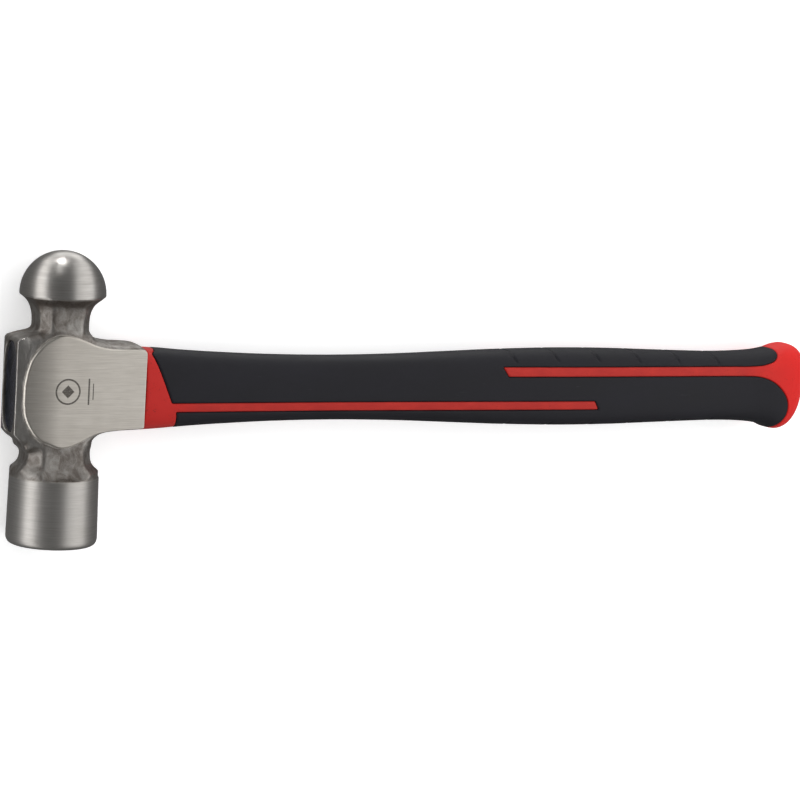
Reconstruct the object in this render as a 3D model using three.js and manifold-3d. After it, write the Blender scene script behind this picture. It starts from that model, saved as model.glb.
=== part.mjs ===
// Ball peen hammer: a forged steel head with an oval eye, a fibreglass core potted into the eye,
// a red moulded jacket round the core and a black rubber grip moulded over the jacket.
// Row frame in millimetres: +X runs down the handle from the head to the butt, +Y runs along the
// head towards the ball, +Z is the outward normal of the upper cheek. The hammer lies on its side.
import * as THREE from 'three';
import Module from 'manifold-3d';
import { mergeVertices } from 'three/addons/utils/BufferGeometryUtils.js';

const wasm = await Module();
wasm.setup();

// ---------- driving dimensions ----------
// Everything below is measured from the point where the head axis crosses the handle axis.
const GAP = 0.3;                 // clearance left between neighbouring pieces

const BALL_RADIUS = 19.1;
const BALL_RIM_Y = 41.5;         // crisp lower rim of the ball
const BALL_TOP_Y = 61.2;
const FACE_Y = -69.3;            // striking face
const FACE_RADIUS = 18.0;
const FACE_CHAMFER = 3.4;        // length of the chamfer along the head axis
const BARREL_RADIUS = 20.3;      // largest radius, just behind the chamfer
const BARREL_TOP_RADIUS = 19.8;
const BARREL_TOP_Y = -38.8;

const BALL_OFFSET_X = 0.6;       // ball and barrel axes sit slightly behind the neck axis
const BARREL_OFFSET_X = 0.2;
const CHEEK_HALF = 13.0;         // head centre plane to the flat cheek
const FLANK_HALF = 9.5;          // half width of the flat front end of the eye
const FLANK_MIN = 1.0;           // and of the crest of the flanks behind it
const EYE_FRONT_X = -22.3;
const EYE_REAR_X = 37.0;
const CHEEK_FRONT_X = -18.0;

const SLOT_FRONT = [18.8, 7.9];  // eye half height and half width at the front
const SLOT_REAR = [14.6, 7.6];   // and where the handle enters
const RESIN_FRONT_X = -20.4;
const RESIN_DISH = 3.2;          // depth of the hollow in the resin
const CORE_HALF = [10.4, 5.4];   // half height and half width of the fibreglass core
const CORE_START_X = -9.0;
const CORE_END_X = 334.0;

const HANDLE_START_X = EYE_REAR_X + GAP;
const SWELL_X = 365.4;           // widest station of the butt
const BUTT_X = 378.5;            // far end of the handle
const BUTT_POWER = 2.4;          // superellipse power of the rounded butt end
const RUBBER_DEPTH = 2.2;        // grip thickness over the jacket
const SECTION_POWER = 3.0;       // superellipse power of the handle section

// Handle half height (across the swing) along X.
const HALF_HEIGHT = [
  [37, 18.5], [46, 18.0], [58, 17.0], [75, 16.0], [100, 15.0], [130, 14.6], [160, 15.1],
  [190, 16.3], [215, 17.3], [245, 17.95], [272, 17.8], [300, 17.0], [328, 16.35], [341, 16.6],
  [351, 17.3], [357.5, 18.5], [362, 20.2], [365.4, 20.8],
];
// Handle half width (along Z) along X.
const HALF_WIDTH = [
  [37, 12.3], [75, 11.9], [130, 11.5], [190, 12.6], [245, 13.7], [300, 13.5], [328, 13.2],
  [345, 13.5], [357.5, 14.7], [365.4, 15.2],
];

// Red inlay stripes on the flat sides of the handle.
const LOW_STRIPE = { top: -5.3, bottom: -8.9, end: 260.5, slant: 2.4 };
const HIGH_STRIPE = { top: 10.8, bottom: 6.5, start: 212.4, slant: 2.2 };
// Red butt cap: the lower rubber lobe ends on this ellipse.
const LOBE = { x: 347, y: -6.5, rx: 18, ry: 12.9 };

const GROOVE_FIRST_X = 218;
const GROOVE_PITCH = 21.6;
const GROOVE_COUNT = 6;
const GROOVE_RADIUS = 0.9;

// ---------- helpers ----------
// Smooth value at x through a short list of [x, value] pairs (cubic Hermite, central slopes).
function valueAt(list, x) {
  let i = 0;
  while (i < list.length - 2 && x > list[i + 1][0]) i += 1;
  const slope = (k) => {
    const a = list[Math.max(k - 1, 0)];
    const b = list[Math.min(k + 1, list.length - 1)];
    return (b[1] - a[1]) / (b[0] - a[0]);
  };
  const [x0, v0] = list[i];
  const [x1, v1] = list[i + 1];
  const d = x1 - x0;
  const t = Math.min(Math.max((x - x0) / d, 0), 1);
  const t2 = t * t;
  const t3 = t2 * t;
  return v0 * (2 * t3 - 3 * t2 + 1) + slope(i) * d * (t3 - 2 * t2 + t)
    + v1 * (3 * t2 - 2 * t3) + slope(i + 1) * d * (t3 - t2);
}

// Closed superellipse ring of count points with half sizes a and b, as [u, v] pairs.
function ovalRing(a, b, power, count) {
  const ring = [];
  for (let i = 0; i < count; i += 1) {
    const angle = (i / count) * 2 * Math.PI;
    const c = Math.cos(angle);
    const s = Math.sin(angle);
    ring.push([
      a * Math.sign(c) * Math.abs(c) ** (2 / power),
      b * Math.sign(s) * Math.abs(s) ** (2 / power),
    ]);
  }
  return ring;
}

// Closed solid through rings of equal length, with flat end caps.
function loft(rings) {
  const count = rings[0].length;
  const positions = [];
  rings.forEach((ring) => ring.forEach((p) => positions.push(...p)));
  const index = [];
  for (let r = 0; r < rings.length - 1; r += 1) {
    for (let i = 0; i < count; i += 1) {
      const a = r * count + i;
      const b = r * count + ((i + 1) % count);
      index.push(a, b, a + count, b, b + count, a + count);
    }
  }
  // Each end is a fan about its middle point, so every ring must be seen whole from its middle.
  const capEnd = (ring, base, flip) => {
    const middle = positions.length / 3;
    positions.push(...[0, 1, 2].map((k) => ring.reduce((sum, p) => sum + p[k], 0) / count));
    for (let i = 0; i < count; i += 1) {
      const a = base + i;
      const b = base + ((i + 1) % count);
      index.push(...(flip ? [middle, b, a] : [middle, a, b]));
    }
  };
  capEnd(rings[0], 0, true);
  capEnd(rings[rings.length - 1], (rings.length - 1) * count, false);
  const geometry = new THREE.BufferGeometry();
  geometry.setAttribute('position', new THREE.Float32BufferAttribute(positions, 3));
  geometry.setIndex(index);
  return geometry;
}

// Manifold solid from a geometry, turned outward if its volume comes out negative.
function solid(geometry) {
  const bare = geometry.clone();
  bare.deleteAttribute('normal');
  bare.deleteAttribute('uv');
  const merged = mergeVertices(bare, 1e-4);
  const p = merged.attributes.position.array;
  const tri = merged.index.array.slice();
  let volume = 0;
  for (let i = 0; i < tri.length; i += 3) {
    const a = new THREE.Vector3().fromArray(p, tri[i] * 3);
    const b = new THREE.Vector3().fromArray(p, tri[i + 1] * 3);
    const c = new THREE.Vector3().fromArray(p, tri[i + 2] * 3);
    volume += a.dot(b.cross(c));
  }
  if (volume < 0) {
    for (let i = 0; i < tri.length; i += 3) {
      const swap = tri[i + 1];
      tri[i + 1] = tri[i + 2];
      tri[i + 2] = swap;
    }
  }
  return new wasm.Manifold(new wasm.Mesh({
    numProp: 3,
    vertProperties: new Float32Array(p),
    triVerts: new Uint32Array(tri),
  }));
}

// Prism through the whole thickness of the hammer from an outline in the XY plane.
function prism(points, halfDepth = 40) {
  const shape = new THREE.Shape(points.map(([x, y]) => new THREE.Vector2(x, y)));
  const geometry = new THREE.ExtrudeGeometry(shape, { depth: 2 * halfDepth, bevelEnabled: false });
  geometry.translate(0, 0, -halfDepth);
  return solid(geometry);
}

// ---------- head ----------
// Section rings across the head axis: y, half size in x, half size in z, power, x offset.
function headRings(stations, endOffset, count = 36) {
  return stations.map(([y, rx, rz, power, offset = endOffset]) => (
    ovalRing(rx, rz, power, count).map(([x, z]) => [x + offset, y, z])
  ));
}

function ballAndNeck() {
  const stations = [
    [16, 12.9, 11.6, 2.7, 0], [24, 12.7, 11.9, 2.7, 0], [33, 12.5, 12.2, 2.6, 0],
    [36.4, 13.1, 12.9, 2.4, 0], [38.8, 14.6, 14.5, 2.1], [40.6, 17.3, 17.2, 2],
    [BALL_RIM_Y, BALL_RADIUS, BALL_RADIUS, 2],
    [BALL_TOP_Y - BALL_RADIUS, BALL_RADIUS, BALL_RADIUS, 2],
  ];
  const steps = 9;
  for (let i = 1; i < steps; i += 1) {
    const a = (i / steps) * (Math.PI / 2) * 0.99;
    const r = BALL_RADIUS * Math.cos(a);
    stations.push([BALL_TOP_Y - BALL_RADIUS * (1 - Math.sin(a)), r, r, 2]);
  }
  stations.push([BALL_TOP_Y, 1.6, 1.6, 2]);
  return solid(loft(headRings(stations, BALL_OFFSET_X)));
}

function barrelAndNeck() {
  const y = BARREL_TOP_Y;
  return solid(loft(headRings([
    [-16, 15.0, 11.6, 2.8, 0], [-23, 15.2, 12.4, 2.8, 0], [-29, 15.4, 13.8, 2.7, 0],
    [-33.6, 15.8, 15.8, 2.4, 0], [-36, 17.1, 17.1, 2.1],
    [y + 0.3, BARREL_TOP_RADIUS - 0.4, BARREL_TOP_RADIUS - 0.4, 2],
    [y, BARREL_TOP_RADIUS, BARREL_TOP_RADIUS, 2],
    [FACE_Y + FACE_CHAMFER, BARREL_RADIUS, BARREL_RADIUS, 2],
    [FACE_Y + FACE_CHAMFER * 0.35, BARREL_RADIUS - 0.7, BARREL_RADIUS - 0.7, 2],
    [FACE_Y, FACE_RADIUS, FACE_RADIUS, 2],
  ], BARREL_OFFSET_X)));
}

// Outline of the eye body in the XY plane, from the rear top corner round the front to the rear
// bottom corner. The upper and lower runs are splines and the front is straight.
function eyeOutline(upper, lower, perSpan = 3) {
  const run = (points) => {
    const curve = new THREE.CatmullRomCurve3(points.map(([x, y]) => new THREE.Vector3(x, y, 0)));
    return curve.getPoints((points.length - 1) * perSpan).map((p) => [p.x, p.y]);
  };
  return [...run(upper), ...run(lower)];
}

function eyeBody() {
  const cheek = eyeOutline(
    [[EYE_REAR_X, 16.8], [35.4, 18.1], [29, 18.4], [23, 18.6], [16.2, 19.7], [10.2, 22.1],
      [4.5, 24.0], [-2, 24.8], [-8, 24.1], [-13, 21.2], [-16.2, 16.0], [CHEEK_FRONT_X, 7.4]],
    [[CHEEK_FRONT_X, -7.4], [-16.4, -12.4], [-12.8, -18.2], [-8.4, -22.2], [-3, -24.1], [2.6, -23.9],
      [7.4, -22.2], [12, -19.9], [17.6, -17.9], [25, -17.0], [35.5, -16.6], [EYE_REAR_X, -15.5]],
  );
  // The forging is fuller on the ball side: its upper flank is crowned, its lower one is nearly flat.
  const flank = eyeOutline(
    [[EYE_REAR_X, 18.4], [34.8, 20.3], [29, 20.9], [23.4, 21.2], [18, 22.1], [14.2, 24.2],
      [12.4, 26.8], [-2, 29.0], [-12.4, 27.6], [-15.6, 25.2], [-19.3, 22.9], [EYE_FRONT_X, 20.8]],
    [[EYE_FRONT_X, -18.9], [-20.0, -21.4], [-17.2, -23.5], [-14.9, -27.0], [-2, -29], [10, -28.4],
      [14.4, -25.6], [15.2, -22.4], [18, -19.1], [25, -17.8], [35.5, -17.2], [EYE_REAR_X, -16.2]],
  );
  // Half width over which each outline point keeps the full flank shape.
  const spans = eyeOutline(
    [...Array(6).fill([0, 0]), [2, 0], [4, 0], [6, 0], [8, 0], [FLANK_HALF, 0], [FLANK_HALF, 0]],
    [[FLANK_HALF, 0], [FLANK_HALF, 0], [8, 0], [6, 0], [4, 0], [2, 0], ...Array(6).fill([0, 0])],
  );
  const steps = 5;
  const rings = [];
  for (let i = 0; i <= steps; i += 1) {
    const a = (i / steps) * (Math.PI / 2);
    const out = Math.sin(a);
    rings.push(cheek.map(([x, y], k) => {
      const half = Math.max(spans[k][0], FLANK_MIN);
      return [
        x + (flank[k][0] - x) * out,
        y + (flank[k][1] - y) * out,
        half + (CHEEK_HALF - half) * Math.cos(a),
      ];
    }));
  }
  const lower = rings.map((ring) => ring.map(([x, y, z]) => [x, y, -z])).reverse();
  return solid(loft([...rings, ...lower]));
}

// Tapered body through the eye, shrunk by gap on every side, between two stations of X.
function eyePlug(gap, x0, x1) {
  const rings = [x0, x1].map((x) => {
    const t = (x - EYE_FRONT_X) / (EYE_REAR_X - EYE_FRONT_X);
    const h = SLOT_FRONT[0] + (SLOT_REAR[0] - SLOT_FRONT[0]) * t - gap;
    const w = SLOT_FRONT[1] + (SLOT_REAR[1] - SLOT_FRONT[1]) * t - gap;
    return ovalRing(h, w, 3.2, 40).map(([y, z]) => [x, y, z]);
  });
  return solid(loft(rings));
}

function headSolid() {
  return ballAndNeck().add(barrelAndNeck()).add(eyeBody())
    .subtract(eyePlug(0, EYE_FRONT_X - 2, EYE_REAR_X + 2));
}

// ---------- handle ----------
function coreSolid(gap = 0) {
  const rings = [CORE_START_X - gap, CORE_END_X + gap].map((x) => (
    ovalRing(CORE_HALF[0] + gap, CORE_HALF[1] + gap, 3, 24).map(([y, z]) => [x, y, z])
  ));
  return solid(loft(rings));
}

function resinSolid() {
  const dish = new THREE.SphereGeometry(1, 24, 12);
  dish.scale(RESIN_DISH, SLOT_FRONT[0] - 1.6, SLOT_FRONT[1] - 1.4);
  dish.translate(RESIN_FRONT_X, 0, 0);
  return eyePlug(GAP, RESIN_FRONT_X, EYE_REAR_X - 0.4)
    .subtract(coreSolid(GAP))
    .subtract(solid(dish));
}

// Full outer shape of the handle shrunk by inset, between two stations of X.
function handleBody(inset, x0, x1, count = 36, pieces = 22) {
  const stations = [];
  const straightEnd = Math.min(x1, SWELL_X);
  for (let i = 0; i <= pieces; i += 1) {
    const x = x0 + (straightEnd - x0) * (i / pieces);
    stations.push([x, valueAt(HALF_HEIGHT, x), valueAt(HALF_WIDTH, x)]);
  }
  if (x1 > SWELL_X) {
    const length = x1 - SWELL_X;
    const steps = 7;
    for (let i = 1; i <= steps; i += 1) {
      const u = Math.sin((i / steps) * (Math.PI / 2) * 0.97);
      const k = (1 - u ** BUTT_POWER) ** (1 / BUTT_POWER);
      const x = i === steps ? x1 : SWELL_X + length * u;
      stations.push([x, valueAt(HALF_HEIGHT, SWELL_X) * k, valueAt(HALF_WIDTH, SWELL_X) * k]);
    }
  }
  return solid(loft(stations.map(([x, h, w]) => (
    ovalRing(h - inset, w - inset, SECTION_POWER, count).map(([y, z]) => [x, y, z])
  ))));
}

// The red areas seen from the side, grown by grow all round.
function redAreas(grow) {
  const g = grow;
  const collar = [[20, 40], [35.6 + g, 40], [54.6 + g, LOW_STRIPE.top + g],
    [56.3 + g, LOW_STRIPE.bottom - g], [62 + g, -40], [20, -40]];
  const low = [[50, LOW_STRIPE.top + g], [50, LOW_STRIPE.bottom - g],
    [LOW_STRIPE.end + LOW_STRIPE.slant + g, LOW_STRIPE.bottom - 0.4 - g],
    [LOW_STRIPE.end + g, LOW_STRIPE.top + g]];
  const high = [[355, HIGH_STRIPE.bottom - g], [355, HIGH_STRIPE.top + g],
    [HIGH_STRIPE.start - g, HIGH_STRIPE.top + g],
    [HIGH_STRIPE.start + HIGH_STRIPE.slant - g, HIGH_STRIPE.bottom - g]];
  const butt = [[400, -40], [400, 40], [360 - g, 40], [359.2 - g, 18.4], [357.8 - g, 14.6],
    [355.2 - g, 11.9 + g], [351, HIGH_STRIPE.top + g], [340, HIGH_STRIPE.top + g],
    [340, HIGH_STRIPE.bottom - g]];
  const steps = 10;
  for (let i = 0; i <= steps; i += 1) {
    const a = Math.PI / 2 - (i / steps) * 2.68;
    butt.push([
      LOBE.x + (LOBE.rx - g) * Math.cos(a),
      LOBE.y + (LOBE.ry - g) * Math.sin(a),
    ]);
  }
  butt.push([354.6 - g, -40]);
  return { collar: prism(collar), low: prism(low), high: prism(high), butt: prism(butt) };
}

function allRed(grow) {
  const areas = redAreas(grow);
  return areas.collar.add(areas.low).add(areas.high).add(areas.butt);
}

function grooveCutters() {
  let cutters = null;
  for (let i = 0; i < GROOVE_COUNT; i += 1) {
    const x = GROOVE_FIRST_X + i * GROOVE_PITCH;
    const h = valueAt(HALF_HEIGHT, x);
    const w = valueAt(HALF_WIDTH, x);
    for (const side of [1, -1]) {
      const path = new THREE.CatmullRomCurve3([
        new THREE.Vector3(x + 2.6, side * (h - 6.4), w + 0.3),
        new THREE.Vector3(x + 1.5, side * (h - 3.0), w - 0.6),
        new THREE.Vector3(x, side * (h - 0.1), w * 0.5),
        new THREE.Vector3(x, side * (h + 0.1), 0),
        new THREE.Vector3(x, side * (h - 0.1), -w * 0.5),
        new THREE.Vector3(x + 1.5, side * (h - 3.0), -(w - 0.6)),
        new THREE.Vector3(x + 2.6, side * (h - 6.4), -(w + 0.3)),
      ]);
      const shape = new THREE.Shape();
      shape.absellipse(0, 0, GROOVE_RADIUS, GROOVE_RADIUS, 0, 2 * Math.PI);
      const tube = new THREE.ExtrudeGeometry(shape, {
        steps: 10, curveSegments: 3, extrudePath: path, bevelEnabled: false,
      });
      const cutter = solid(tube);
      cutters = cutters ? cutters.add(cutter) : cutter;
    }
  }
  return cutters;
}

function jacketSolid(body) {
  const sleeve = handleBody(RUBBER_DEPTH, 44, 364, 28, 14);
  return body.intersect(allRed(0)).add(sleeve).subtract(coreSolid(GAP));
}

function gripSolid(body) {
  return body.subtract(allRed(GAP))
    .subtract(handleBody(RUBBER_DEPTH - GAP, 44, 364, 28, 14))
    .subtract(grooveCutters());
}

// ---------- assembly ----------
const MATERIALS = {
  steel: { color: 0xa8a49c, metalness: 1, roughness: 0.35 },
  fibreglass: { color: 0xc9b98a, metalness: 0, roughness: 0.6 },
  resin: { color: 0x0c0c0e, metalness: 0, roughness: 0.12 },
  red_plastic: { color: 0xc22a2a, metalness: 0, roughness: 0.42 },
  black_rubber: { color: 0x26262a, metalness: 0, roughness: 0.6 },
};

const body = handleBody(0, HANDLE_START_X, BUTT_X);
const pieces = {
  hammer_head: [headSolid(), 'steel'],
  fibreglass_core: [coreSolid(), 'fibreglass'],
  eye_resin: [resinSolid(), 'resin'],
  handle_jacket: [jacketSolid(body), 'red_plastic'],
  rubber_grip: [gripSolid(body), 'black_rubber'],
};

// Row origin: middle of the bounding box in X and Y, and the lowest point in Z.
const ORIGIN = new THREE.Vector3(
  (EYE_FRONT_X + BUTT_X) / 2,
  (BALL_TOP_Y + FACE_Y) / 2,
  -BARREL_RADIUS,
);

const hammer = new THREE.Group();
hammer.name = 'ball_peen_hammer';
for (const [name, [piece, material]] of Object.entries(pieces)) {
  const mesh = piece.getMesh();
  const geometry = new THREE.BufferGeometry();
  geometry.setAttribute('position', new THREE.Float32BufferAttribute(mesh.vertProperties, 3));
  geometry.setIndex(Array.from(mesh.triVerts));
  geometry.translate(-ORIGIN.x, -ORIGIN.y, -ORIGIN.z);
  geometry.computeVertexNormals();
  const node = new THREE.Mesh(geometry, new THREE.MeshStandardMaterial(MATERIALS[material]));
  node.name = name;
  hammer.add(node);
}

export default hammer;
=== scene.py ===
"""Ball peen hammer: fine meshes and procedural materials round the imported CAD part.

Lengths are worked out in millimetres from the point where the head axis crosses the handle axis
(x down the handle, y towards the ball, z out of the upper cheek), then turned into metres in the
row frame. Every visible shape is the zero surface of a distance field, meshed on a fine grid.
"""
import math

import bpy
import numpy as np
from mathutils import Matrix, Vector


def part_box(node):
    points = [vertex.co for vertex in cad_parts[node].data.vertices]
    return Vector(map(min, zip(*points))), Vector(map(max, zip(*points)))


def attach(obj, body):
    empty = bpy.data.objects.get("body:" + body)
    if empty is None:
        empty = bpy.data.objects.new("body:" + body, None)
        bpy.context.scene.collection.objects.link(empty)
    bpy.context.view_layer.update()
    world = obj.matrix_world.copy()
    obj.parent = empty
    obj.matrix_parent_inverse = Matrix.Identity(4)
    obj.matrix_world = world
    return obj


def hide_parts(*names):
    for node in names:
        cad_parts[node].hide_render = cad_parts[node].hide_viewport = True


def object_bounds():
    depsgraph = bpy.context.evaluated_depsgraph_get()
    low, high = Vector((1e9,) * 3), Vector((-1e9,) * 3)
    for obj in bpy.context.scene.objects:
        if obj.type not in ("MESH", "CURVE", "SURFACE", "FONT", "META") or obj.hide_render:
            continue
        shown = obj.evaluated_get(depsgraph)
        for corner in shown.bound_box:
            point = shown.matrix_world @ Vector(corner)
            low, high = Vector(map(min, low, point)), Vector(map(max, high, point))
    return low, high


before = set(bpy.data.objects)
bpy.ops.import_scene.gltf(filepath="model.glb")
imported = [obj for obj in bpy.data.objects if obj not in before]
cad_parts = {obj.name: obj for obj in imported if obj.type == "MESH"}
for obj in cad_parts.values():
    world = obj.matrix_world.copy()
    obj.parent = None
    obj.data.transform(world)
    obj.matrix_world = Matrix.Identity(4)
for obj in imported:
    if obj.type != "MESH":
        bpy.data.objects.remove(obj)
cad_box = [list(corner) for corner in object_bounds()]

MM = 0.001
head_low, head_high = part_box("hammer_head")

# ---------- driving dimensions, in millimetres ----------
EYE_FRONT_X = -22.3
BALL_RADIUS = 19.1
BALL_RIM_Y = 41.5
BALL_TOP_Y = 61.2
BALL_OFFSET_X = 0.6
FACE_Y = -69.3
FACE_RADIUS = 18.0
FACE_CHAMFER = 3.4
BARREL_RADIUS = 20.3
BARREL_TOP_RADIUS = 19.8
BARREL_TOP_Y = -38.8
BARREL_OFFSET_X = 0.2
CHEEK_HALF = 13.0
CHEEK_STEP = 0.7            # how far the ground cheek stands above the forging round it
CHEEK_FALL = 1.3             # how far it is ground below its middle, CHEEK_FALL_RUN past CHEEK_FALL_X
CHEEK_FALL_X = -2            # where that fall starts, going forwards
CHEEK_FALL_RUN = 16
CHEEK_FALL_MOST = 1.3        # the fall stops growing at this many runs
CHEEK_CHAMFER = 1.15
FLANK_HALF = 9.7             # half width of the flat front end of the eye
FLANK_MIN = 1.0              # and of the crest of the flanks behind it
FLANK_FRONT_X, FLANK_REAR_X = -20.0, -6.0   # it narrows from the one to the other here
EYE_REAR_X = 37.0
CHEEK_FRONT_X = -19.5
SLOT_FRONT = (20.3, 8.8)     # eye half height and half width at the front
SLOT_REAR = (14.6, 7.6)
SLOT_RISE = 1.0              # how far the mouth of the eye sits towards the ball
SLOT_POWER = 3.2
RESIN_FRONT_X = -21.2
RESIN_DISH = 1.5
CORE_HALF = (10.4, 5.4)
CORE_START_X = -9.0
CORE_END_X = 334.0
RESIN_REAR_GAP = 0.4
GAP = 0.3                    # clearance between neighbouring pieces
MARK_X, MARK_Y = 0.6, 0.4    # middle of the etched mark
MARK_BLUR = 0.06             # half width of its soft edges
RING_RADIUS, RING_HALF = 5.4, 0.38
LOZENGE_HALF = 2.9
BARS = ((9.6, 0.36, 5.8), (11.6, 0.22, 3.6))   # offset, half width and half length of each
HANDLE_START_X = EYE_REAR_X + GAP
SWELL_X = 365.4              # widest station of the butt
BUTT_X = 377.5
BUTT_POWER = 2.05
BUTT_LEAN = 0.115            # how much the butt leans away from square
SECTION_POWER = 3.0
RUBBER_DEPTH = 2.2
LEAN_START_X, LEAN_END_X = 335, 364   # the butt's lean grows between these
SLEEVE_START_X, SLEEVE_END_X = 44, 364   # ends of the jacket under the rubber
SLEEVE_GAP = 0.1             # share of the clearance under the rubber on each side
SKIN_SINK = 0.12             # how far the red skin lies below the rubber

# Handle half height and half width along x.
HALF_HEIGHT = [
    (37, 18.5), (46, 18.0), (58, 17.0), (75, 16.0), (100, 15.0), (130, 14.6), (160, 15.1),
    (190, 16.3), (215, 17.3), (245, 17.95), (272, 17.8), (300, 17.0), (328, 16.35), (341, 16.6),
    (351, 17.3), (357.5, 18.5), (362, 20.2), (365.4, 20.8),
]
HALF_WIDTH = [
    (37, 12.3), (75, 11.9), (130, 11.5), (190, 12.6), (245, 13.7), (300, 13.5), (328, 13.2),
    (345, 13.5), (357.5, 14.7), (365.4, 15.2),
]
# Red areas seen from the side.
LOW_STRIPE_TOP, LOW_STRIPE_BOTTOM, LOW_STRIPE_END, LOW_STRIPE_SLANT = -5.3, -9.4, 260.5, 2.4
HIGH_STRIPE_TOP, HIGH_STRIPE_BOTTOM, HIGH_STRIPE_START, HIGH_STRIPE_SLANT = 10.7, 6.2, 212.3, 2.8
GROOVE_FIRST_X, GROOVE_PITCH, GROOVE_COUNT = 218.0, 21.6, 6
GROOVE_RADIUS = 0.55
GROOVE_TOP, GROOVE_BOTTOM = 5.0, 2.6   # how far down the side the grooves run
GROOVE_LEAN, GROOVE_LEAN_DEPTH = 2.6, 6.4   # they lean by the first at the depth of the second

GRID_HEAD = 0.42             # mesh pitch of the head and of the resin
GRID_HANDLE = 0.62           # and of the handle

# The row frame's place of the point where the two axes cross.
ORIGIN = np.array([
    head_low.x / MM - EYE_FRONT_X,
    head_high.y / MM - BALL_TOP_Y,
    (head_low.z + head_high.z) / 2 / MM,
])


# ---------- distance fields ----------
def value_at(table, x):
    """Smooth value at x through a short list of (x, value) pairs (cubic Hermite)."""
    xs = np.array([p[0] for p in table], float)
    vs = np.array([p[1] for p in table], float)
    count = len(xs)
    slopes = np.array([
        (vs[min(k + 1, count - 1)] - vs[max(k - 1, 0)])
        / (xs[min(k + 1, count - 1)] - xs[max(k - 1, 0)])
        for k in range(count)
    ])
    i = np.clip(np.searchsorted(xs, x, side="right") - 1, 0, count - 2)
    d = xs[i + 1] - xs[i]
    t = np.clip((x - xs[i]) / d, 0, 1)
    return (
        vs[i] * (2 * t**3 - 3 * t**2 + 1)
        + slopes[i] * d * (t**3 - 2 * t**2 + t)
        + vs[i + 1] * (3 * t**2 - 2 * t**3)
        + slopes[i + 1] * d * (t**3 - t**2)
    )


def smooth_min(a, b, k):
    """Union of two fields with a fillet of about k."""
    h = np.clip(0.5 + 0.5 * (b - a) / k, 0, 1)
    return b + (a - b) * h - k * h * (1 - h)


def smooth_max(a, b, k):
    """Intersection of two fields with a rounded edge of about k."""
    return -smooth_min(-a, -b, k)


def smooth_step(a, b, x):
    t = np.clip((x - a) / (b - a), 0, 1)
    return t * t * (3 - 2 * t)


def polygon_distance(points, x, y):
    """Signed distance from (x, y) to a closed polygon, negative inside."""
    best = np.full(x.shape, 1e9)
    inside = np.zeros(x.shape, bool)
    count = len(points)
    for i in range(count):
        (ax, ay), (bx, by) = points[i], points[(i + 1) % count]
        ex, ey = bx - ax, by - ay
        t = np.clip(((x - ax) * ex + (y - ay) * ey) / max(ex * ex + ey * ey, 1e-12), 0, 1)
        best = np.minimum(best, (x - ax - t * ex) ** 2 + (y - ay - t * ey) ** 2)
        crosses = (ay > y) != (by > y)
        if by != ay:
            inside ^= crosses & (x < (bx - ax) * (y - ay) / (by - ay) + ax)
    return np.where(inside, -1, 1) * np.sqrt(best)


class Sheet:
    """A plane field worked out once on a grid and read back by bilinear interpolation."""

    def __init__(self, low, high, pitch, field):
        self.low, self.pitch = low, pitch
        xs = np.arange(low[0], high[0] + pitch, pitch)
        ys = np.arange(low[1], high[1] + pitch, pitch)
        self.values = field(*np.meshgrid(xs, ys, indexing="ij"))

    def __call__(self, x, y):
        v = self.values
        u = np.clip((x - self.low[0]) / self.pitch, 0, v.shape[0] - 1.001)
        w = np.clip((y - self.low[1]) / self.pitch, 0, v.shape[1] - 1.001)
        i, j = u.astype(int), w.astype(int)
        a, b = u - i, w - j
        return (
            v[i, j] * (1 - a) * (1 - b) + v[i + 1, j] * a * (1 - b)
            + v[i, j + 1] * (1 - a) * b + v[i + 1, j + 1] * a * b
        )


def spline(points, per_span=6):
    """Points along a Catmull-Rom curve through a short list."""
    p = np.array([points[0], *points, points[-1]], float)
    out = []
    for i in range(1, len(p) - 2):
        for s in range(per_span):
            t = s / per_span
            out.append(
                0.5 * (
                    2 * p[i] + (p[i + 1] - p[i - 1]) * t
                    + (2 * p[i - 1] - 5 * p[i] + 4 * p[i + 1] - p[i + 2]) * t**2
                    + (3 * p[i] - p[i - 1] - 3 * p[i + 1] + p[i + 2]) * t**3
                )
            )
    out.append(p[-2])
    return [tuple(q) for q in out]


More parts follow.
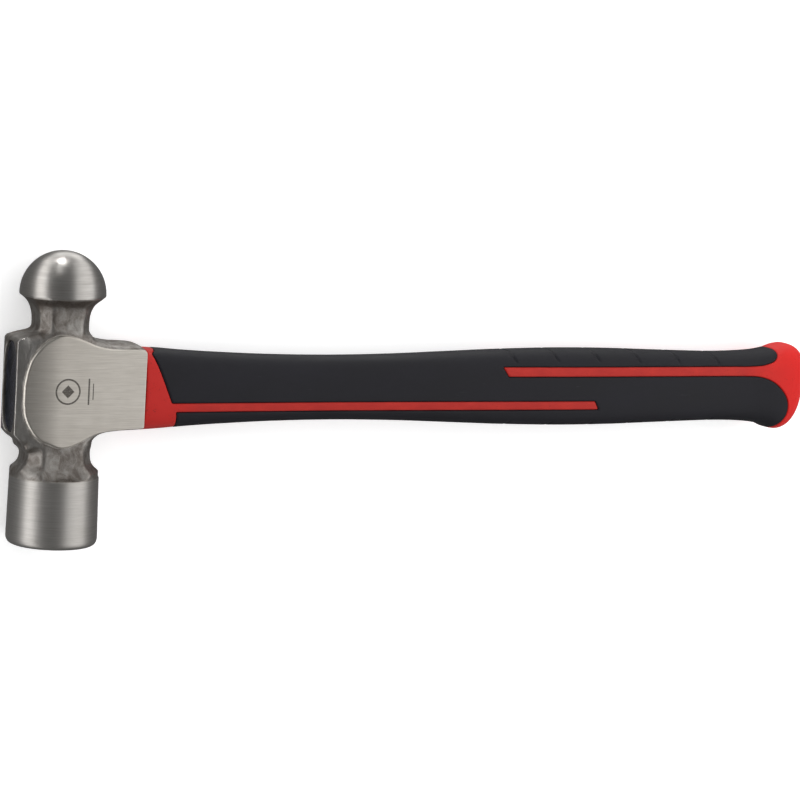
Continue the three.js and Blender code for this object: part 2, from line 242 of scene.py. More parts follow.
# ---------- meshing ----------
def surface_mesh(field, low, high, pitch):
    """Vertices and quads of the zero surface of field(x, y, z), by surface nets, then drawn on to it."""
    axes = [np.arange(low[k], high[k] + pitch, pitch) for k in range(3)]
    shape = tuple(len(a) for a in axes)
    values = np.empty(shape, np.float32)
    yy, zz = np.meshgrid(axes[1], axes[2], indexing="ij")
    slab = max(1, 300000 // yy.size)
    for start in range(0, shape[0], slab):
        xs = axes[0][start:start + slab]
        x = np.repeat(xs, yy.size)
        y = np.tile(yy.ravel(), len(xs))
        z = np.tile(zz.ravel(), len(xs))
        values[start:start + slab] = field(x, y, z).reshape(len(xs), *yy.shape)
    inside = values < 0
    cells = tuple(n - 1 for n in shape)
    total = np.zeros((*cells, 3), np.float32)
    hits = np.zeros(cells, np.int16)
    crossings = []
    for axis in range(3):
        head = [slice(None)] * 3
        tail = [slice(None)] * 3
        head[axis], tail[axis] = slice(0, -1), slice(1, None)
        a, b = values[tuple(head)], values[tuple(tail)]
        crossed = inside[tuple(head)] != inside[tuple(tail)]
        at = np.argwhere(crossed)
        va, vb = a[crossed], b[crossed]
        point = at.astype(np.float32)
        point[:, axis] += va / (va - vb)
        crossings.append((axis, at, inside[tuple(head)][crossed]))
        others = [k for k in range(3) if k != axis]
        for du in (0, 1):
            for dv in (0, 1):
                cell = at.copy()
                cell[:, others[0]] -= du
                cell[:, others[1]] -= dv
                ok = np.all((cell >= 0) & (cell < np.array(cells)), axis=1)
                c = cell[ok]
                np.add.at(total, (c[:, 0], c[:, 1], c[:, 2]), point[ok])
                np.add.at(hits, (c[:, 0], c[:, 1], c[:, 2]), 1)
    used = hits > 0
    index = np.full(cells, -1, np.int64)
    index[used] = np.arange(used.sum())
    verts = total[used] / hits[used][:, None] * pitch + np.array(low)
    quads = []
    for axis, at, starts_inside in crossings:
        others = [k for k in range(3) if k != axis]
        corners = []
        for du, dv in ((0, 0), (1, 0), (1, 1), (0, 1)):
            cell = at.copy()
            cell[:, others[0]] -= du
            cell[:, others[1]] -= dv
            corners.append(index[cell[:, 0], cell[:, 1], cell[:, 2]])
        quad = np.stack(corners, 1)
        flip = starts_inside if axis == 1 else ~starts_inside
        quad[flip] = quad[flip][:, ::-1]
        quads.append(quad)
    faces = np.concatenate(quads)
    for _ in range(3):
        verts = draw_on_surface(field, verts, pitch)
    return verts, faces


def gradient(field, p, step=0.05):
    out = np.empty_like(p)
    for k in range(3):
        d = np.zeros(3)
        d[k] = step
        out[:, k] = (field(*(p + d).T) - field(*(p - d).T)) / (2 * step)
    return out


def draw_on_surface(field, p, pitch):
    g = gradient(field, p)
    size = np.maximum((g**2).sum(1), 1e-3)
    move = -field(*p.T)[:, None] * g / size[:, None]
    length = np.linalg.norm(move, axis=1, keepdims=True)
    return p + move * np.minimum(1, 0.5 * pitch / np.maximum(length, 1e-9))


def make_object(name, verts, faces, materials):
    """A smooth mesh object in the row frame that rides on the root body."""
    mesh = bpy.data.meshes.new(name)
    points = (np.asarray(verts, float) + ORIGIN) * MM
    mesh.vertices.add(len(points))
    mesh.vertices.foreach_set("co", points.astype(np.float32).ravel())
    faces = np.asarray(faces)
    sides = faces.shape[1]
    mesh.loops.add(faces.size)
    mesh.loops.foreach_set("vertex_index", faces.astype(np.int32).ravel())
    mesh.polygons.add(len(faces))
    mesh.polygons.foreach_set("loop_start", np.arange(0, faces.size, sides, dtype=np.int32))
    mesh.update(calc_edges=True)
    mesh.validate()
    mesh.polygons.foreach_set("use_smooth", np.ones(len(mesh.polygons), bool))
    for material in materials:
        mesh.materials.append(material)
    obj = bpy.data.objects.new(name, mesh)
    bpy.context.scene.collection.objects.link(obj)
    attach(obj, "root")
    return obj


def add_attribute(obj, name, values):
    layer = obj.data.attributes.new(name, "FLOAT", "POINT")
    layer.data.foreach_set("value", np.asarray(values, np.float32))


# ---------- head ----------
def turned_profile(stations):
    """Closed outline in the (radius, y) half plane, mirrored so that the axis isn't an edge."""
    right = list(stations)
    left = [(-r, y) for r, y in reversed(stations)]
    return right + left


def ball_outline():
    top = BALL_TOP_Y - BALL_RADIUS
    arc = [
        (BALL_RADIUS * math.cos(a), top + BALL_RADIUS * math.sin(a))
        for a in np.linspace(0, math.pi / 2, 40)
    ]
    return turned_profile([
        (9, BALL_RIM_Y - 3.4), (14.5, BALL_RIM_Y - 2.7), (17.3, BALL_RIM_Y - 1.2),
        (BALL_RADIUS - 0.35, BALL_RIM_Y - 0.15),
        (BALL_RADIUS, BALL_RIM_Y + 0.2), *arc,
    ])


def barrel_outline():
    chamfer = [
        (FACE_RADIUS + (BARREL_RADIUS - FACE_RADIUS) * math.sin(a),
         FACE_Y + FACE_CHAMFER * (1 - math.cos(a)))
        for a in np.linspace(0, math.pi / 2, 10)
    ]
    return turned_profile([
        *chamfer, (BARREL_TOP_RADIUS, BARREL_TOP_Y - 0.3),
        (BARREL_TOP_RADIUS - 0.35, BARREL_TOP_Y), (17.6, BARREL_TOP_Y + 0.8),
        (9, BARREL_TOP_Y + 1.4),
    ])


CHEEK_UPPER = [
    (EYE_REAR_X, 17.0), (35.6, 18.5), (29, 18.7), (23.5, 18.8), (17, 19.5), (12.4, 20.8),
    (7.6, 22.7), (2.8, 24.3), (-1.7, 25.1), (-6.0, 24.7), (-10.0, 22.7), (-14.1, 18.5),
    (-17.1, 13.6), (-18.7, 8.0), (CHEEK_FRONT_X, 2.5),
]
CHEEK_LOWER = [
    (CHEEK_FRONT_X, -5.2), (-18.7, -11.0), (-16.2, -16.5), (-13.0, -20.6), (-8.6, -23.2),
    (-2.6, -24.6), (2.5, -24.1), (7.2, -22.2), (12.6, -19.5), (17.6, -18.0), (25, -17.1),
    (35.5, -16.5), (EYE_REAR_X, -15.5),
]
FLANK_UPPER = [
    (EYE_REAR_X, 18.4), (34.8, 20.3), (29, 20.9), (23.4, 21.2), (18, 22.1), (14.0, 23.6),
    (11.4, 25.2), (-2, 27.0), (-11.4, 26.2), (-15.6, 24.9), (-19.4, 23.6), (-21.2, 23.0),
    (EYE_FRONT_X, 21.8),
]
FLANK_LOWER = [
    (EYE_FRONT_X, -18.9), (-20.0, -21.4), (-17.2, -23.5), (-14.9, -27.0), (-2, -29), (10, -28.4),
    (14.4, -25.6), (15.2, -22.4), (18, -19.1), (25, -17.8), (35.5, -17.2), (EYE_REAR_X, -16.2),
]
sheet_low, sheet_high = (-34, -38), (48, 38)
cheek_sheet = Sheet(sheet_low, sheet_high, 0.2, lambda x, y: polygon_distance(
    spline(CHEEK_UPPER) + spline(CHEEK_LOWER), x, y))
flank_sheet = Sheet(sheet_low, sheet_high, 0.2, lambda x, y: polygon_distance(
    spline(FLANK_UPPER) + spline(FLANK_LOWER), x, y))
ball_sheet = Sheet((-30, 30), (30, 70), 0.12, lambda r, y: polygon_distance(ball_outline(), r, y))
barrel_sheet = Sheet((-30, -76), (30, -28), 0.12,
                     lambda r, y: polygon_distance(barrel_outline(), r, y))

NECK_RX = [(-38.6, 19.4), (-36.8, 19.1), (-35.4, 18.0), (-34.0, 16.4), (-32.4, 15.2), (-30, 14.6),
           (-24, 14.4), (-16, 14.4), (16, 12.2), (22, 11.8), (31, 11.6), (35, 12.2), (38.2, 13.6),
           (40.8, 15.6)]
NECK_RZ = [(-38.6, 17.6), (-37, 16.0), (-35, 14.3), (-32, 12.8), (-28, 12.1), (-22, 11.5),
           (-16, 11.3), (16, 11.0), (22, 10.9), (31, 11.0), (35, 11.8), (38.2, 13.4), (40.8, 15.6)]
NECK_TOP_Y, NECK_BOTTOM_Y = 40.8, -38.6
NECK_POWER = 6.0
NECK_FACET = 0.79            # share of the corner left by the forging die's 45 degree facets


def necks(x, y, z):
    rx, rz = value_at(NECK_RX, y), value_at(NECK_RZ, y)
    s = ((np.abs(x) / rx) ** NECK_POWER + (np.abs(z) / rz) ** NECK_POWER) ** (1 / NECK_POWER)
    reach = np.hypot(x, z)
    radial = reach * (1 - 1 / np.maximum(s, 1e-3))
    facet = (np.abs(x) + np.abs(z) - NECK_FACET * (rx + rz)) / math.sqrt(2)
    radial = smooth_max(radial, facet, 0.9)
    limit = np.where(y > 0, BALL_RADIUS - 0.5, BARREL_TOP_RADIUS - 0.25)
    radial = smooth_max(radial, reach - limit, 0.6)
    return np.maximum(radial, np.maximum(y - NECK_TOP_Y, NECK_BOTTOM_Y - y))


def ground_height(x):
    """Height of the ground cheek above the middle plane."""
    runs = np.clip((CHEEK_FALL_X - x) / CHEEK_FALL_RUN, 0, CHEEK_FALL_MOST)
    return CHEEK_HALF - CHEEK_FALL * runs**2


def eye_forging(x, y, z):
    """Forged body round the eye.

    Its outline grows from the cheek's to the flank's in a quarter ellipse.
    """
    top = ground_height(x) - CHEEK_STEP
    crest = FLANK_MIN + (FLANK_HALF - FLANK_MIN) * (
        1 - smooth_step(FLANK_FRONT_X, FLANK_REAR_X, x))
    u = np.clip((np.abs(z) - crest) / (top - crest), 0, 1)
    share = np.sqrt(np.maximum(1 - u * u, 0))
    outline = cheek_sheet(x, y) * (1 - share) + flank_sheet(x, y) * share
    return smooth_max(outline, np.abs(z) - top, 1.2)


def cheek_plates(x, y, z):
    edge = cheek_sheet(x, y)
    top = np.abs(z) - ground_height(x)
    cut = 0.35 + (CHEEK_CHAMFER - 0.35) * (1 - smooth_step(-8, -1, x))
    chamfer = (edge + top + cut) / math.sqrt(2)
    return np.maximum(np.maximum(edge, top), np.maximum(chamfer, CHEEK_HALF - 4 - np.abs(z)))


def slot(x, y, z, gap=0.0):
    t = np.clip((x - EYE_FRONT_X) / (EYE_REAR_X - EYE_FRONT_X), -0.1, 1.1)
    y = y - SLOT_RISE * (1 - t)
    h = SLOT_FRONT[0] + (SLOT_REAR[0] - SLOT_FRONT[0]) * t - gap
    w = SLOT_FRONT[1] + (SLOT_REAR[1] - SLOT_FRONT[1]) * t - gap
    s = ((np.abs(y) / h) ** SLOT_POWER + (np.abs(z) / w) ** SLOT_POWER) ** (1 / SLOT_POWER)
    return np.hypot(y, z) * (1 - 1 / np.maximum(s, 1e-3))


# Beyond these heights the ball and the barrel are far away, and any positive distance will do.
BALL_FIELD_Y, BARREL_FIELD_Y, FAR = 31, -29, 4


def ball(x, y, z):
    return np.where(y < BALL_FIELD_Y, BALL_FIELD_Y - y + FAR,
                    ball_sheet(np.hypot(x - BALL_OFFSET_X, z), y))


def barrel(x, y, z):
    return np.where(y > BARREL_FIELD_Y, y - BARREL_FIELD_Y + FAR,
                    barrel_sheet(np.hypot(x - BARREL_OFFSET_X, z), y))


def head_field(x, y, z):
    forging = smooth_min(eye_forging(x, y, z), necks(x, y, z), 2.4)
    body = smooth_min(forging, cheek_plates(x, y, z), 0.35)
    body = np.maximum(body, EYE_FRONT_X - x)
    body = smooth_max(body, x - EYE_REAR_X, 0.5)
    body = smooth_min(body, ball(x, y, z), 1.6)
    body = smooth_min(body, barrel(x, y, z), 0.8)
    return smooth_max(body, -slot(x, y, z), 0.7)


# ---------- handle ----------
def handle_outside(x, y, z):
    x = x - BUTT_LEAN * y * smooth_step(LEAN_START_X, LEAN_END_X, x)
    h = value_at(HALF_HEIGHT, x)
    w = value_at(HALF_WIDTH, x)
    s = ((np.abs(y) / h) ** SECTION_POWER + (np.abs(z) / w) ** SECTION_POWER) ** (1 / SECTION_POWER)
    beyond = np.maximum(x - SWELL_X, 0)
    q = (s**BUTT_POWER + (beyond / (BUTT_X - SWELL_X)) ** BUTT_POWER) ** (1 / BUTT_POWER)
    reach = np.sqrt(beyond**2 + y**2 + z**2)
    return reach * (1 - 1 / np.maximum(q, 1e-3))


def red_field(x, y):
    """The red areas seen from the side: the collar with the low stripe, the butt with the high one."""
    collar = [
        (20, 60), (47.0, 60), (44.0, 18.4), (40.8, 16.2), (49.9, LOW_STRIPE_TOP),
        (LOW_STRIPE_END, LOW_STRIPE_TOP),
        (LOW_STRIPE_END + LOW_STRIPE_SLANT, LOW_STRIPE_BOTTOM), (52.3, LOW_STRIPE_BOTTOM),
        (53.2, -15.1), (56, -60), (20, -60),
    ]
    upper_pad = spline([
        (341, HIGH_STRIPE_TOP), (349.5, 11.1), (353.5, 11.9), (357.0, 13.2), (359.3, 15.6),
        (359.8, 18.2), (359.0, 20.6), (356.5, 24),
    ])
    lower_pad = spline([
        (340, HIGH_STRIPE_BOTTOM), (347.5, 6.0), (353.0, 4.9), (358.4, 2.0), (363.0, -3.0),
        (364.8, -8.2), (364.4, -13.4), (361.8, -18.0), (357, -23),
    ])
    butt = [
        (HIGH_STRIPE_START, HIGH_STRIPE_TOP), *upper_pad, (356, 60), (430, 60), (430, -60), (354, -60),
        *reversed(lower_pad), (HIGH_STRIPE_START + HIGH_STRIPE_SLANT, HIGH_STRIPE_BOTTOM),
    ]
    return np.minimum(polygon_distance(collar, x, y), polygon_distance(butt, x, y))


red_sheet = Sheet((30, -30), (390, 30), 0.25, red_field)


def grooves(x, y, z):
    h = value_at(HALF_HEIGHT, x)
    down = np.clip(h - np.abs(y), 0, 20)
    lean = GROOVE_LEAN * (down / GROOVE_LEAN_DEPTH) ** 2
    k = np.clip(np.round((x - lean - GROOVE_FIRST_X) / GROOVE_PITCH), 0, GROOVE_COUNT - 1)
    across = x - lean - (GROOVE_FIRST_X + k * GROOVE_PITCH)
    tube = np.hypot(across, handle_outside(x, y, z)) - GROOVE_RADIUS
    return smooth_max(tube, down - np.where(y > 0, GROOVE_TOP, GROOVE_BOTTOM), 1.0)


def core_room(x, y, z):
    """The rod with its clearance."""
    return np.maximum(
        np.maximum(np.abs(y) - CORE_HALF[0] - GAP, np.abs(z) - CORE_HALF[1] - GAP),
        np.maximum(CORE_START_X - GAP - x, x - CORE_END_X - GAP))


def jacket_field(x, y, z):
    outside = handle_outside(x, y, z)
    red = red_sheet(x, y) + GAP / 3
    skin = smooth_max(smooth_max(outside + SKIN_SINK, red, 0.5), HANDLE_START_X - x, 0.9)
    sleeve = np.maximum(outside + RUBBER_DEPTH + SLEEVE_GAP,
                        np.maximum(SLEEVE_START_X - x, x - SLEEVE_END_X))
    return np.maximum(np.minimum(skin, sleeve), -core_room(x, y, z))


def grip_field(x, y, z):
    outside = handle_outside(x, y, z)
    skin = smooth_max(outside, GAP / 3 - red_sheet(x, y), 0.6)
    skin = smooth_max(skin, -grooves(x, y, z), 0.5)
    return np.maximum(skin, -(outside + RUBBER_DEPTH - SLEEVE_GAP))


def resin_field(x, y, z):
    plug = np.maximum(slot(x, y, z, GAP / 3),
                      np.maximum(RESIN_FRONT_X - x, x - EYE_REAR_X + RESIN_REAR_GAP))
    h, w = SLOT_FRONT[0] - 0.5, SLOT_FRONT[1] - 0.4
    inwards = 1 - (np.abs(y - SLOT_RISE) / h) ** 2.5 - (np.abs(z) / w) ** 2.5
    dip = RESIN_DISH * np.clip(inwards, 0, 1) ** 0.6
    plug = smooth_max(plug, RESIN_FRONT_X + dip - x, 0.3)
    return np.maximum(plug, -core_room(x, y, z))


# ---------- materials ----------
class Nodes:
    """Short names for the shader nodes used here."""

    def __init__(self, name):
        self.material = bpy.data.materials.new(name)
        self.material.use_nodes = True
        self.tree = self.material.node_tree
        self.shader = self.tree.nodes["Principled BSDF"]

    def add(self, kind, **settings):
        node = self.tree.nodes.new(kind)
        for key, value in settings.items():
            setattr(node, key, value)
        return node

    def put(self, value, socket):
        if isinstance(value, bpy.types.NodeSocket):
            self.tree.links.new(value, socket)
        else:
            socket.default_value = value

    def place(self):
        """Position in millimetres from the point where the axes cross."""
        coords = self.add("ShaderNodeTexCoord").outputs["Object"]
        moved = self.vector("SUBTRACT", coords, tuple(float(v) * MM for v in ORIGIN))
        return self.vector("MULTIPLY", moved, (1 / MM,) * 3)

    def vector(self, operation, a, b):
        node = self.add("ShaderNodeVectorMath", operation=operation)
        self.put(a, node.inputs[0])
        self.put(b, node.inputs[1])
        return node.outputs[0]

    def math(self, operation, a, b=0.0, clamp=False):
        node = self.add("ShaderNodeMath", operation=operation, use_clamp=clamp)
        self.put(a, node.inputs[0])
        self.put(b, node.inputs[1])
        return node.outputs[0]

    def split(self, value):
        node = self.add("ShaderNodeSeparateXYZ")
        self.put(value, node.inputs[0])
        return node.outputs

    def ramp(self, value, low, high, out_low=0.0, out_high=1.0):
        node = self.add("ShaderNodeMapRange", clamp=True)
        for key, v in (("Value", value), ("From Min", low), ("From Max", high),
                       ("To Min", out_low), ("To Max", out_high)):
            self.put(v, node.inputs[key])
        return node.outputs["Result"]

    def noise(self, place, stretch, detail=3.0, rough=0.55, distort=0.0):
        node = self.add("ShaderNodeTexNoise")
        self.put(self.vector("MULTIPLY", place, stretch), node.inputs["Vector"])
        node.inputs["Scale"].default_value = 1.0
        node.inputs["Detail"].default_value = detail
        node.inputs["Roughness"].default_value = rough
        node.inputs["Distortion"].default_value = distort
        return node.outputs["Fac"]

    def mix(self, share, a, b):
        """Colour mix."""
        node = self.add("ShaderNodeMix", data_type="RGBA")
        self.put(share, node.inputs["Factor"])
        self.put(a, node.inputs["A"])
        self.put(b, node.inputs["B"])
        return node.outputs["Result"]

    def blend(self, share, a, b):
        """Number mix."""
        node = self.add("ShaderNodeMix", data_type="FLOAT")
        self.put(share, node.inputs["Factor"])
        self.put(a, node.inputs["A"])
        self.put(b, node.inputs["B"])
        return node.outputs["Result"]

    def attribute(self, name):
        return self.add("ShaderNodeAttribute", attribute_name=name).outputs["Fac"]

    def bump(self, height, depth_mm, strength=1.0, under=None):
        node = self.add("ShaderNodeBump")
        node.inputs["Strength"].default_value = strength
        node.inputs["Distance"].default_value = depth_mm * MM
        self.put(height, node.inputs["Height"])
        if under is not None:
            self.put(under, node.inputs["Normal"])
        return node.outputs["Normal"]

    def surface(self, colour, roughness, normal=None, metallic=0.0, specular=0.5):
        self.put(colour, self.shader.inputs["Base Color"])
        self.put(roughness, self.shader.inputs["Roughness"])
        if normal is not None:
            self.put(normal, self.shader.inputs["Normal"])
        self.shader.inputs["Metallic"].default_value = metallic
        self.shader.inputs["Specular IOR Level"].default_value = specular
        return self.material


def rgb(r, g, b):
    return (r, g, b, 1.0)


def steel_material():
    n = Nodes("forged_steel")
    place = n.place()
    x, y, z = n.split(place)
    ground = n.attribute("ground")
    turned = n.attribute("turned")
    edge = n.attribute("edge_wear")
    worked = n.math("MAXIMUM", ground, turned)
    forged = n.math("SUBTRACT", 1.0, worked)
    fine = n.noise(place, (0.10, 4.6, 0.10), detail=4, rough=0.7)
    coarse = n.noise(place, (0.045, 1.5, 0.045), detail=3, rough=0.6, distort=0.2)
    streak = n.math("ADD", n.math("MULTIPLY", fine, 0.65), n.math("MULTIPLY", coarse, 0.35))
    cloud = n.noise(place, (0.06, 0.06, 0.06), detail=3)
    scale = n.noise(place, (0.22, 0.15, 0.22), detail=6, rough=0.62, distort=0.6)
    grain = n.noise(place, (1.6, 1.3, 1.6), detail=4, rough=0.6)

    ground_colour = n.mix(
        n.ramp(streak, 0.38, 0.62), rgb(0.57, 0.53, 0.475), rgb(0.71, 0.67, 0.61))
    turned_colour = n.mix(
        n.ramp(streak, 0.36, 0.64), rgb(0.435, 0.415, 0.39), rgb(0.56, 0.54, 0.515))
    forged_colour = n.mix(
        n.ramp(scale, 0.36, 0.66), rgb(0.215, 0.19, 0.17), rgb(0.42, 0.40, 0.375))
    forged_colour = n.mix(
        n.ramp(grain, 0.56, 0.76, 0, 0.6), forged_colour, rgb(0.13, 0.105, 0.09))
    # Painted shade: a dark band centred at y 39.2, just under the ball's rim, stands for the shadow the
    # rim casts on the neck.
    painted_rim_shade = n.ramp(n.math("ABSOLUTE", n.math("SUBTRACT", y, 39.2)), 1.0, 3.4, 0.5, 0.0)
    forged_colour = n.mix(painted_rim_shade, forged_colour, rgb(0.085, 0.062, 0.05))
    worked_colour = n.mix(turned, ground_colour, turned_colour)
    worked_colour = n.mix(
        n.ramp(cloud, 0.45, 0.75, 0, 0.16), worked_colour, rgb(0.36, 0.32, 0.28))
    colour = n.mix(worked, forged_colour, worked_colour)
    colour = n.mix(n.math("MULTIPLY", edge, 0.45), colour, rgb(0.70, 0.68, 0.65))

    mark = etched_mark(n, x, y, z)
    colour = n.mix(mark, colour, rgb(0.10, 0.09, 0.08))
    worked_rough = n.blend(
        turned, n.ramp(streak, 0.3, 0.7, 0.40, 0.31), n.ramp(streak, 0.3, 0.7, 0.36, 0.28))
    worked_rough = n.math(
        "ADD", worked_rough, n.math("MULTIPLY", turned, n.ramp(y, 0, -1, 0, 0.07)))
    rough = n.blend(worked, n.ramp(scale, 0.3, 0.7, 0.56, 0.42), worked_rough)
    rough = n.blend(edge, rough, 0.33)
    rough = n.blend(mark, rough, 0.65)
    lines = n.bump(n.math("MULTIPLY", streak, worked), 0.04, 0.4)
    lumps = n.math("ADD", n.math("MULTIPLY", scale, 0.9), n.math("MULTIPLY", grain, 0.10))
    normal = n.bump(n.math("MULTIPLY", lumps, forged), 0.45, 0.7, under=lines)
    normal = n.bump(mark, -0.05, 0.6, under=normal)
    return n.surface(colour, rough, normal, metallic=1.0)


def etched_mark(n, x, y, z):
    """A plain ring round a lozenge with two bars beside it, etched in the upper cheek."""
    across = n.math("SUBTRACT", x, MARK_X)
    along = n.math("SUBTRACT", y, MARK_Y)

    def within(distance, half):
        return n.ramp(distance, half - MARK_BLUR, half + MARK_BLUR, 1.0, 0.0)

    reach = n.math(
        "SQRT", n.math("ADD", n.math("POWER", across, 2.0), n.math("POWER", along, 2.0)))
    ring = within(n.math("ABSOLUTE", n.math("SUBTRACT", reach, RING_RADIUS)), RING_HALF)
    lozenge = within(n.math("ADD", n.math("ABSOLUTE", across), n.math("ABSOLUTE", along)), LOZENGE_HALF)
    mark = n.math("MAXIMUM", ring, lozenge)
    for offset, half_width, half_length in BARS:
        bar = n.math(
            "MINIMUM",
            within(n.math("ABSOLUTE", n.math("SUBTRACT", across, offset)), half_width),
            within(n.math("ABSOLUTE", along), half_length),
        )
        mark = n.math("MAXIMUM", mark, bar)
    on_top = n.ramp(z, CHEEK_HALF - 0.5, CHEEK_HALF - 0.4)
    fade = n.ramp(n.noise(n.place(), (1.1, 2.6, 1.0), detail=4, rough=0.7), 0.30, 0.55, 0.55, 0.9)
    return n.math("MULTIPLY", n.math("MULTIPLY", mark, on_top), fade)


def red_material():
    n = Nodes("red_moulding")
    place = n.place()
    x = n.split(place)[0]
    cloud = n.noise(place, (0.12, 0.2, 0.2), detail=4)
    speck = n.noise(place, (1.1, 1.4, 1.4), detail=3, rough=0.7)
    peel = n.noise(place, (2.2, 2.2, 2.2), detail=2)
    colour = n.mix(n.ramp(cloud, 0.35, 0.7), rgb(0.355, 0.020, 0.016), rgb(0.43, 0.028, 0.021))
    # Painted light: the one red moulding is painted brighter towards the butt (x 338 to 372), standing
    # for light on its swell.
    colour = n.mix(n.ramp(x, 338, 372), colour, rgb(0.62, 0.014, 0.012))
    colour = n.mix(n.ramp(x, 64, 52), colour, rgb(0.43, 0.018, 0.015))
    dirt = n.math("MULTIPLY", n.ramp(speck, 0.57, 0.66), n.ramp(cloud, 0.42, 0.55))
    colour = n.mix(
        n.math("MULTIPLY", dirt, n.ramp(x, 44, 60, 0.75, 0.3)), colour, rgb(0.07, 0.012, 0.012))
    rough = n.ramp(cloud, 0.3, 0.7, 0.5, 0.62)
    return n.surface(colour, rough, n.bump(peel, 0.04, 0.4), specular=0.2)


def rubber_material():
    n = Nodes("black_rubber")
    place = n.place()
    cloud = n.noise(place, (0.03, 0.07, 0.07), detail=4)
    grain = n.noise(place, (4.0, 4.0, 4.0), detail=3, rough=0.7)
    dust = n.noise(place, (0.9, 1.3, 1.3), detail=5, rough=0.75)
    scuff = n.noise(place, (0.09, 1.1, 1.1), detail=4, rough=0.6, distort=1.0)
    colour = n.mix(
        n.ramp(cloud, 0.3, 0.7), rgb(0.0065, 0.0063, 0.0088), rgb(0.0105, 0.0102, 0.0138))
    colour = n.mix(n.ramp(dust, 0.66, 0.80, 0, 0.35), colour, rgb(0.075, 0.078, 0.085))
    colour = n.mix(n.ramp(scuff, 0.66, 0.80, 0, 0.30), colour, rgb(0.06, 0.062, 0.068))
    rough = n.math("ADD", n.ramp(cloud, 0.3, 0.7, 0.56, 0.66), n.ramp(scuff, 0.6, 0.8, 0, 0.1))
    return n.surface(colour, rough, n.bump(grain, 0.05, 0.45), specular=0.30)


def resin_material():
    n = Nodes("black_resin")
    place = n.place()
    swirl = n.noise(place, (0.18, 0.12, 0.2), detail=3, distort=1.2)
    pit = n.noise(place, (1.4, 1.4, 1.4), detail=3, rough=0.7)
    colour = n.mix(n.ramp(swirl, 0.4, 0.7), rgb(0.004, 0.004, 0.006), rgb(0.014, 0.014, 0.022))
    rough = n.ramp(pit, 0.45, 0.75, 0.07, 0.22)
    return n.surface(colour, rough, n.bump(swirl, 0.2, 0.4), specular=0.45)


def fibreglass_material():
    n = Nodes("fibreglass_rod")
    place = n.place()
    strand = n.noise(place, (0.03, 2.6, 2.6), detail=3, rough=0.6)
    cloud = n.noise(place, (0.05, 0.3, 0.3), detail=2)
    colour = n.mix(n.ramp(strand, 0.35, 0.65), rgb(0.50, 0.43, 0.28), rgb(0.78, 0.72, 0.55))
    colour = n.mix(n.ramp(cloud, 0.4, 0.7, 0, 0.3), colour, rgb(0.62, 0.60, 0.40))
    return n.surface(colour, n.ramp(strand, 0.3, 0.7, 0.4, 0.6), n.bump(strand, 0.08, 0.5))


# ---------- pieces ----------
def edge_wear(field, verts, reach=0.45):
    """1 on convex edges and 0 on flats, from how much of a small ball round each point is outside."""
    total = np.zeros(len(verts))
    for axis in range(3):
        for sign in (-1, 1):
            p = verts.copy()
            p[:, axis] += sign * reach
            total += field(*p.T)
    return smooth_step(0.10, 0.34, total / 6 / reach)


def build(name, field, low, high, pitch, material):
    verts, faces = surface_mesh(field, low, high, pitch)
    obj = make_object(name, verts, faces, [material])
    return obj, verts


pad = 1.6
head, head_verts = build(
    "forged_head", head_field,
    (EYE_FRONT_X - pad, FACE_Y - pad, -BARREL_RADIUS - pad),
    (EYE_REAR_X + pad, BALL_TOP_Y + pad, BARREL_RADIUS + pad),
    GRID_HEAD, steel_material())
vx, vy, vz = head_verts.T
on_plate = 1 - smooth_step(0.12, 0.3, np.abs(cheek_plates(vx, vy, vz)))
wear = edge_wear(head_field, head_verts)
turned = np.maximum(smooth_step(BALL_RIM_Y - 0.5, BALL_RIM_Y - 0.3, vy),
                    smooth_step(BARREL_TOP_Y + 0.1, BARREL_TOP_Y - 0.1, vy))
add_attribute(head, "edge_wear", wear)
add_attribute(head, "ground", on_plate * (1 - turned))
add_attribute(head, "turned", turned)
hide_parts("hammer_head")

resin, _ = build(
    "eye_potting", resin_field,
    (RESIN_FRONT_X - pad, SLOT_RISE - SLOT_FRONT[0] - pad, -SLOT_FRONT[1] - pad),
    (EYE_REAR_X + pad, SLOT_RISE + SLOT_FRONT[0] + pad, SLOT_FRONT[1] + pad),
    GRID_HEAD, resin_material())
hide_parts("eye_resin")

half_y, half_z = HALF_HEIGHT[-1][1] + pad, HALF_WIDTH[-1][1] + pad
jacket, _ = build(
    "moulded_jacket", jacket_field, (HANDLE_START_X - pad, -half_y, -half_z),
    (BUTT_X + pad, half_y, half_z), GRID_HANDLE, red_material())
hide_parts("handle_jacket")

grip, _ = build(
    "grip_sleeve", grip_field, (HANDLE_START_X + 2, -half_y, -half_z),
    (SWELL_X + 4, half_y, half_z), GRID_HANDLE, rubber_material())
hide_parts("rubber_grip")

core_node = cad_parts["fibreglass_core"]
core_node.data.materials.clear()
core_node.data.materials.append(fibreglass_material())


# ---------- stage ----------
FLOOR_DROP, FLOOR_HALF = 0.0002, 6.0   # metres
FLOOR_GLOW = 0.38
WORLD_STRENGTH = 0.14


def plane(name, centre, size):
    cx, cy, cz = centre
    corners = [(cx - size, cy - size, cz), (cx + size, cy - size, cz),
               (cx + size, cy + size, cz), (cx - size, cy + size, cz)]
    mesh = bpy.data.meshes.new(name)
    mesh.from_pydata(corners, [], [(0, 1, 2, 3)])
    obj = bpy.data.objects.new(name, mesh)
    bpy.context.scene.collection.objects.link(obj)
    return obj


floor = plane("floor", (0, 0, cad_box[0][2] - FLOOR_DROP), FLOOR_HALF)
floor_nodes = Nodes("floor_paper")
floor.data.materials.append(floor_nodes.surface(rgb(0.88, 0.88, 0.88), 0.9, specular=0.1))
floor_nodes.shader.inputs["Emission Color"].default_value = rgb(1.0, 1.0, 1.0)
floor_nodes.shader.inputs["Emission Strength"].default_value = FLOOR_GLOW
floor.visible_glossy = False
floor.visible_shadow = False

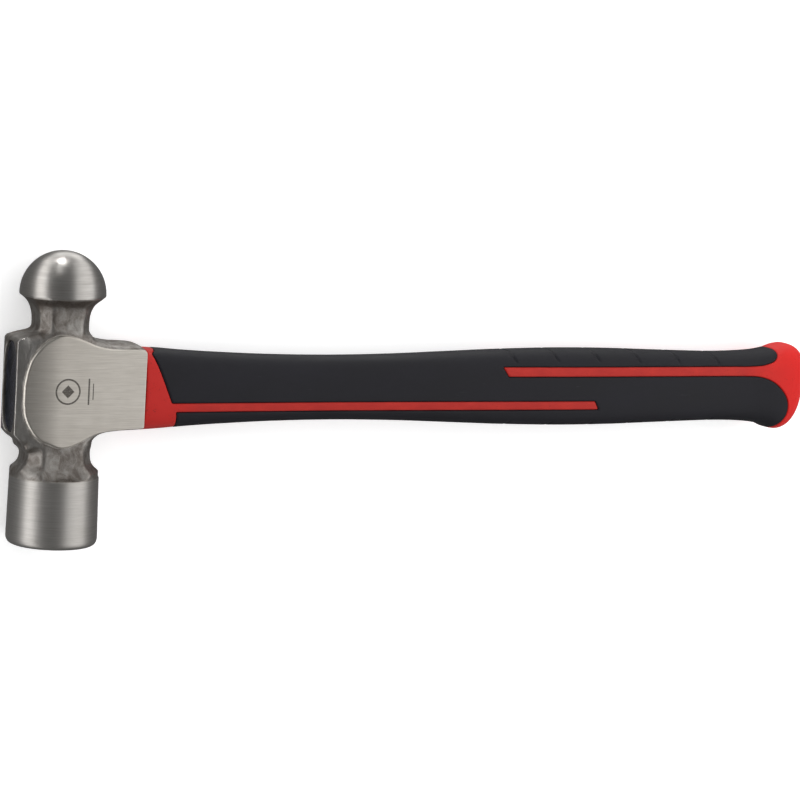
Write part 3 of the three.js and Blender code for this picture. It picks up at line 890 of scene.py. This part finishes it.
world = bpy.data.worlds.new("studio")
world.use_nodes = True
world.node_tree.nodes["Background"].inputs["Color"].default_value = (0.98, 0.99, 1.0, 1.0)
world.node_tree.nodes["Background"].inputs["Strength"].default_value = WORLD_STRENGTH
bpy.context.scene.world = world
bpy.context.scene.view_settings.view_transform = "Standard"

# Camera: turned about y, then x, then z from looking straight down on the upper cheek.
YAW, PITCH, ROLL = -0.428799, -0.146731, 0.060253
CAMERA_LENS = 151.76
CAMERA_DISTANCE = 1555.6
LOOK_AT = np.array([166.1, -6.25, 0.0])
turn = (Matrix.Rotation(YAW, 3, "Y") @ Matrix.Rotation(PITCH, 3, "X")
        @ Matrix.Rotation(ROLL, 3, "Z"))
right, up, back = (np.array(turn.col[k]) for k in range(3))


def row_point(p):
    return Vector((np.asarray(p, float) + ORIGIN) * MM)


camera_data = bpy.data.cameras.new("camera")
camera_data.lens = CAMERA_LENS
camera_data.sensor_width = 36.0
camera_data.clip_start, camera_data.clip_end = 0.05, 20.0
camera = bpy.data.objects.new("camera", camera_data)
bpy.context.scene.collection.objects.link(camera)
eye_point = row_point(LOOK_AT + back * CAMERA_DISTANCE)
camera.matrix_world = Matrix.Translation(eye_point) @ turn.to_4x4()
bpy.context.scene.camera = camera


LIGHT_TARGET = (5, 0, 0)     # the middle of the head, which the lights face


def softbox(name, across, rise, distance, width, height, radiance, glossy=True):
    """Area light facing the head.

    Its direction is the one in which a polished bead shows it: where the bead's surface is turned
    by `across` degrees to the right of the camera and then raised by `rise` degrees. radiance is
    what a mirror would show of it.
    """
    a, e = math.radians(across), math.radians(rise)

    def seen(a, e):
        return (right * math.sin(2 * a) * math.cos(e) ** 2 + up * math.cos(a) * math.sin(2 * e)
                + back * (2 * (math.cos(a) * math.cos(e)) ** 2 - 1))

    towards = Vector(seen(a, e)).normalized()
    side = Vector(seen(a + 0.01, e) - seen(a - 0.01, e))
    side = (side - towards * side.dot(towards)).normalized()
    data = bpy.data.lights.new(name, "AREA")
    data.shape = "RECTANGLE"
    data.size, data.size_y = width, height
    data.energy = radiance * math.pi * width * height
    obj = bpy.data.objects.new(name, data)
    bpy.context.scene.collection.objects.link(obj)
    facing = Matrix((side, towards.cross(side), towards)).transposed()
    place = row_point(LIGHT_TARGET) + towards * distance
    obj.matrix_world = Matrix.Translation(place) @ facing.to_4x4()
    obj.visible_glossy = glossy
    obj.visible_camera = False


# Two curved banks of soft light, left and right of the camera, narrowing upwards. The lowest
# panels lie below the floor, which casts no shadow.
PANEL_RISE = 13.0            # degrees from one panel to the next
PANEL_DISTANCE, PANEL_HEIGHT = 1.1, 0.56
for step in range(-2, 5):
    rise = PANEL_RISE * step
    narrow = math.cos(math.radians(rise)) ** 2
    softbox(f"left_bank_{step + 2}", -26.5, rise, PANEL_DISTANCE, 0.60 * narrow, PANEL_HEIGHT, 1.35)
    softbox(f"right_bank_{step + 2}", 34, rise, PANEL_DISTANCE, 1.20 * narrow, PANEL_HEIGHT, 0.76)
softbox("spark", -2, 46, 0.9, 0.11, 0.11, 30.0)
softbox("spark_tail", -3, 33, 0.9, 0.13, 0.40, 1.6)
softbox("far_side", 10, 64, 1.5, 0.7, 0.6, 1.3)
softbox("overhead", 12, 3, 1.6, 2.6, 2.6, 1.25, glossy=False)
